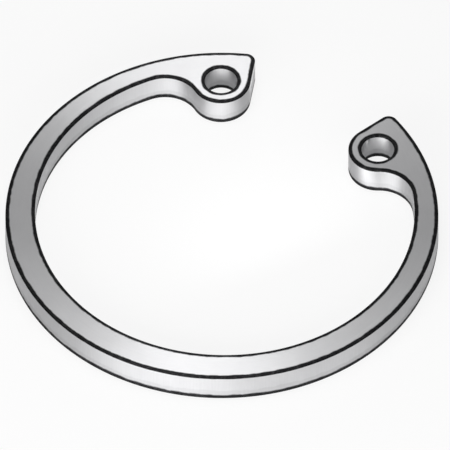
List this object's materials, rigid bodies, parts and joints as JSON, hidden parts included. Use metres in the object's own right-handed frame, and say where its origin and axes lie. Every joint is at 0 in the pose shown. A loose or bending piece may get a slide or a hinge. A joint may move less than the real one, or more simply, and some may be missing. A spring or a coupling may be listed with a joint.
{
  "type": "internal retaining ring",
  "caption": "Open spring-steel ring, tapered towards its inward lugs with plier holes, that springs into a groove in a bore to hold a bearing in place.",
  "frame": {"origin": "centre of the outside circle, on the lower flat face", "axes": "+Z along the ring's axis, +Y towards the middle of the gap between the lugs, +X across the gap"},
  "size_m": [0.0278, 0.0267, 0.002],
  "materials": {
    "spring_steel": "tumbled satin, bright and lightly oiled"
  },
  "bodies": {
    "root": {"retaining_ring": "spring_steel"}
  },
  "joints": []
}
